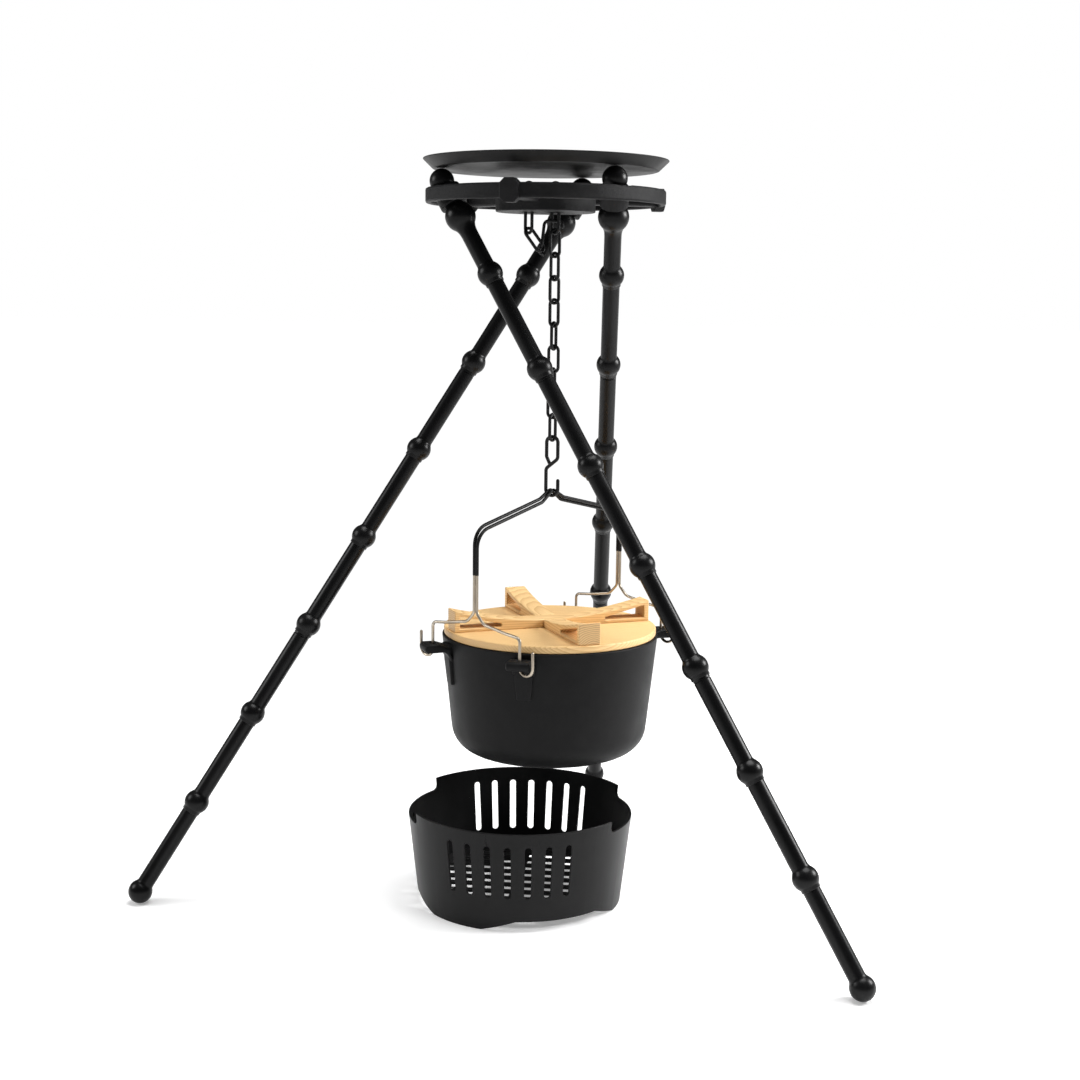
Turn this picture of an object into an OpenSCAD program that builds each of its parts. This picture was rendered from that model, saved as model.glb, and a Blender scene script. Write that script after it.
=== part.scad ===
// Campfire cooking tripod: three twisted legs under a cast ring, a griddle on top,
// a chain and hook carrying a cast iron pot with a wooden lid, and a fire basket below.
// Millimetres. +Z up, origin on the ground under the centre of the ring.
// An azimuth is measured from the front (-Y) towards +X.

/* [Ring casting] */
// Height of the underside of the hoop above the ground
ring_z = 872; // [760:1:1060]
// Outer radius of the hoop
ring_r = 146.5; // [142:0.5:176]
// Thickness of the hoop wall
hoop_wall = 7; // [5:0.5:10]
// Height of the hoop
hoop_h = 18; // [15:0.5:22]
// Radius of the centre hub
hub_r = 61; // [52:0.5:64]
// Thickness of the hub floor
hub_floor_h = 12; // [9:0.5:14]
// Depth of the whole hub, floor and rim
hub_h = 29; // [25:0.5:34]
// How far the hub hangs below the hoop
hub_drop = 9; // [5:0.5:12]
// Width of each spoke
spoke_w = 23; // [16:0.5:28]
// Height of the chamfered block at the outer end of a spoke
spoke_end_h = 28; // [24:0.5:34]
// Azimuth of the front spoke
spoke_az = -16.5; // [-30:0.5:-6]
// Diameter of the two holes that the chain hangs through
chain_hole_d = 22; // [21:0.5:25]

/* [Legs] */
// Radius at which a leg passes through the ring
socket_r = 119; // [108:0.5:121]
// Azimuth of the first leg socket
socket_az = -77.8; // [-90:0.1:-70]
// Angle of a leg from the vertical
leg_lean = 33.1; // [28:0.1:37]
// Azimuth that the first leg runs towards
leg_yaw = 54.9; // [48:0.1:60]
// How far each leg is turned from even spacing, as the legs stand
leg_turn = [2.3, -6.6, 4.2];
// Diameter of the leg tube
leg_tube_d = 20.6; // [18:0.1:24]
// Wall of the leg tube
leg_wall = 2.5; // [1.5:0.1:3.5]
// Diameter of each knuckle along a leg
knuckle_d = 30.6; // [26:0.2:36]
// Knuckles on a leg between the collar ball and the foot
knuckles = 7; // [6:1:8]
// Distance along the leg from the ring to the first knuckle
first_knuckle = 111.4; // [100:0.2:130]
// Diameter of the collar ball that bears under the ring
collar_ball_d = 37; // [33:0.5:42]
// Distance along the leg from the ring to the collar ball
collar_ball_s = 30.7; // [30:0.1:40]
// Diameter of the foot ball
foot_ball_d = 30; // [26:0.5:36]
// Diameter of the stud that passes through the ring
stud_d = 12; // [10:0.5:14]
// Diameter of the ball nut above the ring
ball_nut_d = 30; // [26:0.5:34]

/* [Griddle] */
// Radius of the griddle rim
griddle_r = 150; // [135:0.5:180]
// Height of the griddle
griddle_h = 12.5; // [10:0.5:18]
// Thickness of the griddle plate
griddle_t = 4.5; // [3:0.5:6]

/* [Chain] */
// Diameter of the chain wire
link_wire_d = 4; // [3.4:0.1:4.4]
// Outer width of a link
link_w = 16.5; // [15.5:0.1:18]
// Distance from one link to the next
link_pitch = 28.2; // [24:0.1:32]
// X position of the hanging chain
hang_x = 12; // [8:0.5:16]
// Diameter of the wire of the pot hook
hook_wire_d = 4.5; // [4:0.1:5]

/* [Bail] */
// Azimuth of the plane of the bail
bail_az = -41.5; // [-48:0.1:-38]
// Half the distance between the upright arms
bail_half = 136.5; // [136:0.1:150]
// Diameter of the bail wires
bail_wire_d = 3.7; // [3:0.1:3.7]
// Thickness of the black coating on the bail wires
coat_t = 0.25; // [0.2:0.01:0.3]

/* [Pot] */
// Outer radius of the pot at the rim
pot_r = 136.3; // [120:0.1:136.4]
// Height of the pot
pot_h = 157; // [120:1:165]
// Wall thickness of the pot
pot_wall = 4.5; // [3.5:0.1:6]
// Angle of the pot wall from the vertical
pot_draft = 6; // [2:0.5:9]
// Radius of the bottom corner of the pot
pot_corner_r = 35; // [20:1:45]
// Width of each cast ear
ear_w = 29; // [27:0.5:31]
// Thickness of each cast ear
ear_t = 12; // [10:0.5:13]

/* [Lid] */
// Radius of the wooden board
lid_r = 134; // [118:0.1:134.5]
// Thickness of the wooden board
lid_t = 9; // [7:0.5:14]
// Width of each bar of the cross handle
bar_w = 28; // [22:0.5:36]
// Height of the cross at its centre
cross_hub_h = 10; // [8:0.5:16]
// Height of the cross at its ends
cross_end_h = 27; // [25:0.5:34]
// Azimuth of the front bar of the cross
cross_az = 21; // [10:1:32]

/* [Fire basket] */
// Outer radius of the basket at its rim
basket_r = 144; // [130:0.5:160]
// Outer radius of the basket at the ground
basket_foot_r = 129; // [116:0.5:134]
// Height of the basket
basket_h = 127; // [118:1:152]
// Thickness of the basket sheet
basket_t = 3; // [2:0.1:4]
// Depth of the lowered rim at the sides
basket_step = 15; // [8:0.5:20]
// Air slots in each of the two panels
slots = 7; // [5:1:8]
// Width of an air slot
slot_w = 8; // [6:0.5:9]
// Length of an air slot
slot_l = 66; // [40:1:68]
// Height of the arches along the lower edge
arch_h = 13; // [8:0.5:14]
// Height of the top of the grate
grate_z = 27; // [24:0.5:34]
// Number of air gaps in the grate
grate_gaps = 9; // [5:2:9]

/* [Hidden] */

$fn = 64;
eps = 0.01;
// Gap left between two pieces that rest on each other but can part
rest_gap = 0.3;
// Radial clearance of a spigot in its tube, or of a stud in its hole
slip = 0.1;

iron = [0.13, 0.13, 0.13];
black_steel = [0.16, 0.16, 0.165];
steel = [0.66, 0.64, 0.60];
pine = [0.86, 0.68, 0.42];

// Ring and leg frame
ring_mid_z = ring_z + hoop_h / 2;
foot_s = (ring_mid_z - foot_ball_d / 2) / cos(leg_lean);
knuckle_pitch = (foot_s - first_knuckle) / knuckles;
socket_boss_d = 34;
socket_top_s = -9;
socket_bottom_s = 15;
// Knuckles above the upper seam and above the lower seam
upper_knuckles = 2;
middle_knuckles = 5;
// A seam lies just below its knuckle
seam_below = knuckle_d / 2 + 1.5;
spigot_l = 30;
spigot_bore_d = 9;
leg_bore_d = leg_tube_d - 2 * leg_wall;

// Ball nut and griddle height
nut_s = -11 - 0.3 * ball_nut_d;
nut_z = ring_mid_z - nut_s * cos(leg_lean);
griddle_z = nut_z + ball_nut_d / 2 + rest_gap;
griddle_foot_r = griddle_r - griddle_h;

// Chain: a link is measured between the centres of its two end wires
link_l = link_pitch + link_wire_d + rest_gap;
link_bend_r = (link_w - link_wire_d) / 2;
saddle_top = 892.2 - 872 + ring_z;
saddle_link_z = saddle_top + rest_gap + link_wire_d / 2;
chain_top_z = saddle_link_z + link_wire_d + rest_gap;
tail_x = hang_x - link_l;
chain_links = 10;
// Direction that each hanging link faces, hub link first
link_face = [18, -48, 26, -44, 32, -36, 64, -20, 72, -12, 56];
tail_face = [18, -50];
tail_lean = 36;
tail_roll = 40;
hook_face = -18;
function link_z(i) = chain_top_z - i * link_pitch;

// Pot hook, measured down from the wire in the last link
hook_top_z = link_z(chain_links) - link_l + (link_wire_d + hook_wire_d) / 2 + rest_gap;
hook_eye_half = 7.3;
hook_mouth_half = 7.8;
hook_l = 73.7;
hook_bottom_z = hook_top_z - hook_l;

// Bail: the two coated wires lie side by side in the hook
coat_d = bail_wire_d + 2 * coat_t + 0.1;
wire_side = coat_d / 2 + 0.05;
bail_z = hook_bottom_z + 6.5;
shoulder_r = 20;
shoulder_drop = 11.5;
bend_drop = 38.5;
strand_split = 1.8;
fork_drop = 138;
ear_side = 72.5;
ear_hole_r = norm([bail_half, ear_side]);
ear_spread = atan2(ear_side, bail_half);

// Pot heights, worked down from the bail
ear_top_z = bail_z - 184.7;
ear_bottom_z = ear_top_z - ear_t;
rim_over_ear = 4;
pot_rim_z = ear_top_z + rim_over_ear;
pot_base_z = pot_rim_z - pot_h;
pot_foot_h = 6;
pot_foot_r = 75;
rim_w = 6.5;
ear_hole_d = 10;
ear_reach = 13.6;
jay_r = 10.25;
jay_z = ear_bottom_z + 5.1;

// Lid
lid_z = pot_rim_z + rest_gap;
lid_ring_t = 8;
lid_ring_clear = 1.5;
cross_z = lid_z + lid_t;
screw_r = 46;
screw_d = 4;
screw_l = 25;

// Fire basket
basket_pos = [-23, -18];
basket_turn = -5.5;
step_half = 32;
slot_step = 10.3;
slot_mid_z = 77;
// The three feet lie under the left and right panels
foot_az = [88, 208, 328];
foot_half = 17;
foot_slope = 19;
grate_t = 3;
grate_r = 118;
tab_w = 20;
tab_in_r = 108;

// ---------------------------------------------------------------- shared shapes

// Places children at an azimuth and radius, facing outwards along -Y
module at_az(az, r = 0) {
    rotate([0, 0, az]) translate([0, -r, 0]) children();
}

// Frame of leg k: the leg runs down along -Z from the ring's mid-plane
module leg_frame(k) {
    rotate([0, 0, socket_az - 120 * k])
        translate([0, -socket_r, ring_mid_z])
            rotate([0, 0, leg_yaw + leg_turn[k] - socket_az])
                rotate([-leg_lean, 0, 0]) children();
}

function unit(v) = v / norm(v);

// Points of a line through p with each corner rounded to its own radius
function bend_points(a, b, c, r) =
    let (
        u = unit(a - b),
        v = unit(c - b),
        corner = acos(max(-1, min(1, u * v))),
        s = b + u * r / tan(corner / 2),
        o = b + unit(u + v) * r / sin(corner / 2),
        sweep = 180 - corner,
        e1 = (s - o) / r,
        e = b + v * r / tan(corner / 2) - o,
        e2 = unit(e - (e * e1) * e1),
        n = ceil(sweep / 18)
    ) [for (j = [0:n]) o + r * (cos(sweep * j / n) * e1 + sin(sweep * j / n) * e2)];

function bent(p, r) = [
    p[0],
    for (i = [1:len(p) - 2]) each bend_points(p[i - 1], p[i], p[i + 1], r[i]),
    p[len(p) - 1]
];

function along(p, i) =
    i == 0 ? unit(p[1] - p[0])
    : i >= len(p) - 1 ? unit(p[len(p) - 1] - p[len(p) - 2])
    : unit(unit(p[i + 1] - p[i]) + unit(p[i] - p[i - 1]));

function flatten_to(n, t) = unit(n - (n * t) * t);

function side_vectors(p, start) = [
    for (i = 0, n = flatten_to(start, along(p, 0)); i < len(p);
        i = i + 1, n = flatten_to(n, along(p, i))) n
];

// Solid round bar swept along the points p
module wire(p, d, start = [0, 1, 0], sides = 10) {
    n = side_vectors(p, start);
    rings = [for (i = [0:len(p) - 1]) let (b = cross(along(p, i), n[i]))
        for (j = [0:sides - 1])
            p[i] + d / 2 * (cos(360 * j / sides) * n[i] + sin(360 * j / sides) * b)];
    last = len(p) - 1;
    polyhedron(
        points = rings,
        faces = concat(
            [[for (j = [0:sides - 1]) j]],
            [for (i = [0:last - 1], j = [0:sides - 1]) let (k = (j + 1) % sides)
                [i * sides + j, (i + 1) * sides + j, (i + 1) * sides + k, i * sides + k]],
            [[for (j = [sides - 1:-1:0]) last * sides + j]]
        )
    );
}

// Round sleeve swept along the points p
module sleeve(p, d_out, d_in, start = [0, 1, 0], sides = 10) {
    n = side_vectors(p, start);
    function ring(d) = [for (i = [0:len(p) - 1]) let (b = cross(along(p, i), n[i]))
        for (j = [0:sides - 1])
            p[i] + d / 2 * (cos(360 * j / sides) * n[i] + sin(360 * j / sides) * b)];
    last = len(p) - 1;
    inner = len(p) * sides;
    polyhedron(
        points = concat(ring(d_out), ring(d_in)),
        faces = concat(
            [for (i = [0:last - 1], j = [0:sides - 1]) let (k = (j + 1) % sides)
                [i * sides + j, (i + 1) * sides + j, (i + 1) * sides + k, i * sides + k]],
            [for (i = [0:last - 1], j = [0:sides - 1]) let (k = (j + 1) % sides)
                [inner + i * sides + j, inner + i * sides + k,
                    inner + (i + 1) * sides + k, inner + (i + 1) * sides + j]],
            [for (j = [0:sides - 1]) let (k = (j + 1) % sides)
                [j, k, inner + k, inner + j]],
            [for (j = [0:sides - 1]) let (k = (j + 1) % sides)
                [last * sides + j, inner + last * sides + j,
                    inner + last * sides + k, last * sides + k]]
        )
    );
}

// ---------------------------------------------------------------- ring casting

module hoop() {
    chamfer = 1.5;
    inner = ring_r - hoop_wall;
    translate([0, 0, ring_z]) rotate_extrude($fn = 96) polygon([
        [inner, chamfer], [inner + chamfer, 0], [ring_r - chamfer, 0], [ring_r, chamfer],
        [ring_r, hoop_h - chamfer], [ring_r - chamfer, hoop_h],
        [inner + chamfer, hoop_h], [inner, hoop_h - chamfer]
    ]);
}

module hub() {
    rim = 8;
    translate([0, 0, ring_z - hub_drop]) difference() {
        cylinder(r = hub_r, h = hub_h, $fn = 96);
        translate([0, 0, hub_floor_h]) cylinder(r = hub_r - rim, h = hub_h, $fn = 96);
    }
}

// Octagonal bar from the hub to the hoop, with a taller block at its outer end
module spoke() {
    end_l = 13;
    overhang = 3;
    c = 5.6;
    module bar(w, h, c, from, to) {
        translate([0, -from, ring_mid_z]) rotate([90, 0, 0]) linear_extrude(to - from)
            polygon([
                [-w / 2, -h / 2 + c], [-w / 2 + c, -h / 2], [w / 2 - c, -h / 2],
                [w / 2, -h / 2 + c], [w / 2, h / 2 - c], [w / 2 - c, h / 2],
                [-w / 2 + c, h / 2], [-w / 2, h / 2 - c]
            ]);
    }
    bar(spoke_w - 3, hoop_h - 2, 2, hub_r - 6, ring_r - hoop_wall / 2);
    bar(spoke_w, spoke_end_h, c, ring_r + overhang - end_l, ring_r + overhang);
}

// Bridge between the two chain holes, which carries the top link
module saddle() {
    mid_x = hang_x - link_l / 2;
    w = link_l - chain_hole_d - 1;
    l = 26;
    base_z = ring_z - hub_drop + hub_floor_h / 2;
    h = saddle_top - base_z;
    c = 2;
    translate([mid_x, l / 2, base_z]) rotate([90, 0, 0]) linear_extrude(l) polygon([
        [-w / 2, 0], [w / 2, 0], [w / 2, h - c], [w / 2 - c, h], [-w / 2 + c, h], [-w / 2, h - c]
    ]);
}

// Boss that a leg's stud passes through, with a short web to the hoop
module socket_boss(k) {
    leg_frame(k) translate([0, 0, -socket_bottom_s])
        cylinder(d = socket_boss_d, h = socket_bottom_s - socket_top_s + 2);
    web_w = 24;
    rotate([0, 0, socket_az - 120 * k])
        translate([-web_w / 2, -(ring_r - hoop_wall / 2), ring_z + 1])
            cube([web_w, ring_r - hoop_wall / 2 - socket_r, hoop_h - 2]);
}

module spider_ring() {
    color(iron) difference() {
        union() {
            hoop();
            hub();
            for (k = [0:2]) at_az(spoke_az - 120 * k) spoke();
            for (k = [0:2]) socket_boss(k);
            saddle();
        }
        for (x = [hang_x, tail_x])
            translate([x, 0, ring_z - hub_drop - 1])
                cylinder(d = chain_hole_d, h = hub_floor_h + 2);
        for (k = [0:2]) leg_frame(k) {
            translate([0, 0, -collar_ball_s]) cylinder(d = stud_d + 2 * slip, h = 80);
            translate([0, 0, -collar_ball_s]) sphere(d = collar_ball_d + 2 * slip);
            translate([0, 0, -socket_top_s]) cylinder(d = 42, h = 30);
        }
    }
}

// ---------------------------------------------------------------- legs

function knuckle_s(i) = first_knuckle + (i - 1) * knuckle_pitch;
function seam_s(i) = knuckle_s(i) + seam_below;

// Tube with knuckles from station a to station b along the leg, open at the lower end
module leg_tube(a, b, from, to) {
    translate([0, 0, -b]) cylinder(d = leg_tube_d, h = b - a);
    for (i = [from:to]) translate([0, 0, -knuckle_s(i)]) sphere(d = knuckle_d);
}

// Hollow spigot that slides into the tube above, with its plug in the tube below
module spigot(a) {
    plug = 12;
    translate([0, 0, -a]) difference() {
        translate([0, 0, -plug]) cylinder(d = leg_bore_d - 2 * slip, h = spigot_l + plug);
        translate([0, 0, -plug - 1]) cylinder(d = spigot_bore_d, h = spigot_l + plug + 2);
    }
}

module leg_upper(k) {
    b = seam_s(upper_knuckles);
    closed = collar_ball_s + collar_ball_d / 2 + 6;
    color(black_steel) leg_frame(k) difference() {
        union() {
            leg_tube(collar_ball_s, b, 1, upper_knuckles);
            translate([0, 0, -collar_ball_s]) sphere(d = collar_ball_d);
            translate([0, 0, -collar_ball_s])
                cylinder(d = stud_d, h = collar_ball_s - nut_s + 4);
        }
        translate([0, 0, -b - 1]) cylinder(d = leg_bore_d, h = b - closed + 1);
    }
}

// Section of leg whose tube starts at a seam and has a spigot reaching up
module leg_section(k, from, to, last) {
    a = seam_s(from - 1);
    b = last ? foot_s : seam_s(to);
    plug = 12;
    low = last ? b - foot_ball_d / 2 - 4 : b + 1;
    color(black_steel) leg_frame(k) {
        difference() {
            union() {
                leg_tube(a, b, from, to);
                if (last) translate([0, 0, -b]) sphere(d = foot_ball_d);
                translate([0, 0, -a - 1]) cylinder(d = leg_bore_d - 2 * slip, h = spigot_l + 1);
            }
            translate([0, 0, -low]) cylinder(d = leg_bore_d, h = low - a - plug);
            translate([0, 0, -a - plug - 1]) cylinder(d = spigot_bore_d, h = spigot_l + plug + 2);
        }
    }
}

// Ball nut on the stud above the ring
module ball_nut(k) {
    neck_d = 23;
    color(black_steel) leg_frame(k) difference() {
        union() {
            translate([0, 0, -nut_s]) sphere(d = ball_nut_d);
            translate([0, 0, -socket_top_s]) cylinder(d = neck_d, h = socket_top_s - nut_s);
        }
        translate([0, 0, -socket_top_s - 20]) cylinder(d = 60, h = 20);
        translate([0, 0, -socket_top_s - 1])
            cylinder(d = stud_d + 2 * slip, h = socket_top_s - nut_s + 6);
    }
}

// ---------------------------------------------------------------- griddle

module griddle() {
    t = griddle_t;
    lip = 3;
    color(iron) translate([0, 0, griddle_z]) rotate_extrude($fn = 128) polygon([
        [0, 0], [griddle_foot_r, 0], [griddle_r, griddle_h - 1], [griddle_r - 0.5, griddle_h],
        [griddle_r - lip, griddle_h], [griddle_foot_r - t * 0.4, t], [0, t]
    ]);
}

// ---------------------------------------------------------------- chain

// One link hanging along -Z from the centre of its upper end wire, in the XZ plane
module link() {
    r = link_bend_r;
    d = link_wire_d;
    straight = link_l - 2 * r;
    for (x = [-r, r]) translate([x, 0, -r - straight]) cylinder(d = d, h = straight, $fn = 24);
    translate([0, 0, -r]) rotate([90, 0, 0])
        rotate_extrude(angle = 180, $fn = 40) translate([r, 0]) circle(d = d, $fn = 24);
    translate([0, 0, -r - straight]) rotate([90, 180, 0])
        rotate_extrude(angle = 180, $fn = 40) translate([r, 0]) circle(d = d, $fn = 24);
}

module hanging_link(i) {
    color(black_steel) translate([hang_x, 0, link_z(i)]) rotate([0, 0, link_face[i]]) link();
}

// Flat link across the bridge of the hub
module saddle_link() {
    color(black_steel) translate([hang_x, 0, saddle_link_z]) rotate([90, 0, 90]) link();
}

module tail_hub_link() {
    color(black_steel) translate([tail_x, 0, link_z(0)]) rotate([0, 0, tail_face[0]]) link();
}

module tail_link_1() {
    color(black_steel) translate([tail_x, 0, link_z(1)]) rotate([0, 0, tail_face[1]]) link();
}

// Last tail link, leaning across towards the hanging chain
tail_joint = [tail_x, 0, link_z(1) - link_l];
tail_dir = [sin(tail_lean), 0, -cos(tail_lean)];
tail_across = [cos(tail_roll) * cos(tail_lean), sin(tail_roll), cos(tail_roll) * sin(tail_lean)];
tail_top = tail_joint - tail_dir * (link_wire_d + 1.2) + [1, -1, 0.8];
module tail_link_2() {
    color(black_steel) translate(tail_top) rotate([0, -tail_lean, 0])
        rotate([0, 0, tail_roll]) link();
}

// Hook at the end of the tail: its lower end goes round the last tail link,
// and its upper end passes through the first hanging link
module tail_hook() {
    r = link_wire_d + 0.9;
    crown = tail_top + tail_dir * link_l;
    face = cross(tail_dir, tail_across);
    eye = [hang_x, 0, link_z(1) - link_l / 2 - 1.3];
    p = [
        crown + r * tail_dir + face,
        crown + r * (tail_dir - face),
        crown - r * (tail_dir + face),
        crown - r * tail_dir + 4 * face,
        eye + [-13, -1, 0],
        eye + [9, 0.7, 0],
        eye + [9, 0.7, -9]
    ];
    color(black_steel) wire(bent(p, [0, r - 0.2, r - 0.2, 6, 6, 4.5, 0]), link_wire_d);
}

// Pot hook: a closed eye above, a shank, and an open hook below
module pot_hook() {
    e = hook_eye_half;
    m = hook_mouth_half;
    t = hook_top_z;
    b = hook_bottom_z;
    p = [for (q = [
        [-2.6, t - 35], [-e, t - 25], [-e, t], [e, t], [e, t - 27.5],
        [-m, t - 40], [-m, b], [m, b], [m, b + 21]
    ]) [q[0], 0, q[1]]];
    color(black_steel) translate([hang_x, 0, 0]) rotate([0, 0, hook_face])
        wire(bent(p, [0, 6, e - 0.1, e - 0.1, 6, 6, m - 0.1, m - 0.1, 0]), hook_wire_d);
}

// ---------------------------------------------------------------- bail

// Half of one wire, from the peak out to the tip of its ear hook.
// Each point is [distance along the bail, distance to the side, height]
function half_wire(end, lift) = [
    [end * shoulder_r, wire_side, bail_z - shoulder_drop + lift],
    [end * bail_half, wire_side, bail_z - bend_drop + lift],
    [end * bail_half, wire_side, bail_z - fork_drop],
    [end * bail_half, 14, bail_z - fork_drop - 12],
    [end * bail_half, 50, bail_z - fork_drop - 18],
    [end * bail_half, ear_side, bail_z - fork_drop - 20.5],
    [end * bail_half, ear_side, jay_z - jay_r],
    [end * bail_half, ear_side + 2 * jay_r, jay_z - jay_r],
    [end * bail_half, ear_side + 2 * jay_r, jay_z + 20]
];
half_radii = [12, 24, 9, 14, 30, 6, jay_r - 0.05, jay_r - 0.05];
function turned(list) = [for (i = [len(list) - 1:-1:0]) list[i]];
wire_corners = concat(
    turned(half_wire(-1, -strand_split)),
    [[0, wire_side, bail_z + 1.4]],
    half_wire(1, strand_split)
);
wire_radii = concat([0], turned(half_radii), [6], half_radii, [0]);
function bail_local(p) = [for (q = p) [-q[1], -q[0], q[2]]];
bail_path = bent(bail_local(wire_corners), wire_radii);
// The coating ends at this height on each arm
coat_end_z = bail_z - 93;
coat_path = [
    [-wire_side, bail_half, coat_end_z],
    for (q = bail_path) if (q[2] > coat_end_z + 6) q,
    [-wire_side, -bail_half, coat_end_z]
];

module bail_frame(turn) {
    translate([hang_x, 0, 0]) rotate([0, 0, bail_az + turn]) children();
}

module bail_wire(turn) {
    color(steel) bail_frame(turn) wire(bail_path, bail_wire_d, [1, 0, 0]);
}

module bail_coat(turn) {
    color(black_steel) bail_frame(turn)
        sleeve(coat_path, coat_d, bail_wire_d + 0.1, [1, 0, 0]);
}

// ---------------------------------------------------------------- pot

function wall_r(z) = pot_r - (pot_rim_z - z) * tan(pot_draft);

function arc_points(o, r, from, to, n) =
    [for (i = [0:n]) o + r * [cos(from + (to - from) * i / n), sin(from + (to - from) * i / n)]];

// Outline of half the pot, outside then inside
module pot_profile() {
    floor_z = pot_base_z + pot_foot_h;
    co = pot_corner_r;
    ci = pot_corner_r - pot_wall;
    o = [pot_r - (pot_rim_z - floor_z - co) * tan(pot_draft) - co / cos(pot_draft), floor_z + co];
    outer = arc_points(o, co, -90, -pot_draft, 8);
    inner = arc_points(o, ci, -pot_draft, -90, 8);
    inner_rim = pot_r - rim_w;
    polygon(concat(
        [[0, pot_base_z + 1.5], [pot_foot_r - 4, pot_base_z + 1.5], [pot_foot_r - 3, pot_base_z],
            [pot_foot_r, pot_base_z], [pot_foot_r + 1.5, floor_z]],
        outer,
        [[pot_r, pot_rim_z - 1], [pot_r - 1, pot_rim_z], [inner_rim + 1, pot_rim_z],
            [inner_rim, pot_rim_z - 1], [inner_rim - 0.3, pot_rim_z - 9]],
        inner,
        [[0, floor_z + pot_wall]]
    ));
}

// Ear with its hole, a short gusset and a tapered pad on the wall
module ear() {
    reach = ear_hole_r + ear_reach;
    corner = 7;
    root = wall_r(ear_bottom_z) - 4;
    module plate() {
        translate([-ear_w / 2, -reach + corner]) square([ear_w, reach - corner - root]);
        translate([-ear_w / 2 + corner, -reach]) square([ear_w - 2 * corner, corner + 1]);
        for (x = [-1, 1]) translate([x * (ear_w / 2 - corner), -reach + corner]) circle(r = corner);
    }
    difference() {
        translate([0, 0, ear_bottom_z]) linear_extrude(ear_t) plate();
        translate([0, -ear_hole_r, ear_bottom_z - 1]) cylinder(d = ear_hole_d, h = ear_t + 2);
    }
    gusset = 14;
    gusset_out = wall_r(ear_bottom_z) + 7;
    translate([-6, 0, ear_bottom_z]) rotate([0, 0, -90]) rotate([90, 0, 0])
        linear_extrude(12) difference() {
            translate([root, -gusset]) square([gusset_out - root, gusset + 1]);
            translate([gusset_out, -gusset]) circle(r = gusset - 1);
        }
    pad_h = 42;
    pad_t = 3;
    translate([0, -wall_r(ear_bottom_z), ear_bottom_z]) rotate([pot_draft, 0, 0])
        translate([0, 6, 0]) rotate([90, 0, 0]) linear_extrude(6 + pad_t)
            polygon([[-14, 8], [14, 8], [9, -pad_h], [-9, -pad_h]]);
}

module pot() {
    color(iron) translate([hang_x, 0, 0]) difference() {
        union() {
            rotate_extrude($fn = 96) pot_profile();
            for (end = [0, 180], side = [-1, 1]) at_az(bail_az + end + side * ear_spread) ear();
        }
        translate([0, 0, pot_base_z + 40]) cylinder(r = 60, h = 60);
    }
}

// ---------------------------------------------------------------- lid

module screw_places() {
    for (a = [0:90:270]) at_az(cross_az + a, screw_r) children();
}

lid_ring_z = lid_z - lid_ring_t;
lid_ring_r = pot_r - rim_w - lid_ring_clear;

module lid_board() {
    chamfer = 1;
    color(pine) translate([hang_x, 0, lid_z]) difference() {
        rotate_extrude($fn = 128) polygon([
            [0, 0], [lid_r - chamfer, 0], [lid_r, chamfer],
            [lid_r, lid_t - chamfer], [lid_r - chamfer, lid_t], [0, lid_t]
        ]);
        screw_places() translate([0, 0, -1]) cylinder(d = screw_d + 2 * slip, h = lid_t + 2, $fn = 24);
    }
}

// Disc under the board that drops inside the pot rim
module lid_ring() {
    color(pine) translate([hang_x, 0, lid_ring_z]) difference() {
        cylinder(r = lid_ring_r, h = lid_ring_t, $fn = 96);
        screw_places() {
            translate([0, 0, -1]) cylinder(d = screw_d + 2 * slip, h = lid_ring_t + 2, $fn = 24);
            translate([0, 0, -eps]) cylinder(d = 8.6, h = 3 + eps, $fn = 24);
        }
    }
}

// Side view of a bar: a hollowed top and a tapered window in each arm
module bar_outline() {
    n = 24;
    e = lid_r - 3;
    function top(x) = cross_hub_h + (cross_end_h - cross_hub_h) * pow(x / e, 2);
    window_in = 72;
    window_out = e - 7;
    foot = 4.5;
    tip_h = 4;
    end_h = cross_end_h - 6.5 - foot;
    difference() {
        polygon(concat([[-e, 0], [e, 0]], [for (i = [0:n]) let (x = e - 2 * e * i / n) [x, top(x)]]));
        for (s = [-1, 1]) {
            polygon([
                [s * window_in, foot], [s * window_out, foot],
                [s * window_out, foot + end_h], [s * window_in, foot + tip_h]
            ]);
            translate([s * window_in, foot + tip_h / 2]) circle(d = tip_h, $fn = 24);
        }
    }
}

module lid_bar(az, upper) {
    lap_gap = 0.05;
    h = cross_hub_h / 2;
    color(pine) translate([hang_x, 0, cross_z]) rotate([0, 0, az - 90]) difference() {
        rotate([90, 0, 0]) translate([0, 0, -bar_w / 2]) linear_extrude(bar_w) bar_outline();
        translate([-bar_w / 2 - lap_gap, -bar_w, upper ? -1 : h])
            cube([bar_w + 2 * lap_gap, 2 * bar_w, upper ? h + 1 : 2 * h]);
        for (s = [-1, 1]) translate([s * screw_r, 0, -1])
            cylinder(d = screw_d + 2 * slip, h = screw_l - lid_ring_t - lid_t + 2, $fn = 24);
    }
}

module lid_screws() {
    head_h = 2.6;
    color(steel) translate([hang_x, 0, lid_ring_z + 0.2]) screw_places() {
        cylinder(d = screw_d, h = screw_l, $fn = 24);
        difference() {
            cylinder(d1 = 8, d2 = screw_d, h = head_h, $fn = 24);
            translate([-0.6, -5, -eps]) cube([1.2, 10, 1]);
        }
    }
}

// ---------------------------------------------------------------- fire basket

module basket_frame() {
    translate([basket_pos[0], basket_pos[1], 0]) rotate([0, 0, basket_turn]) children();
}

// Space inside the basket, less a gap to its wall
module basket_inside(gap, h) {
    cylinder(r1 = basket_foot_r - basket_t - gap, r2 = basket_r - basket_t - gap, h = h, $fn = 128);
}

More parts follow.
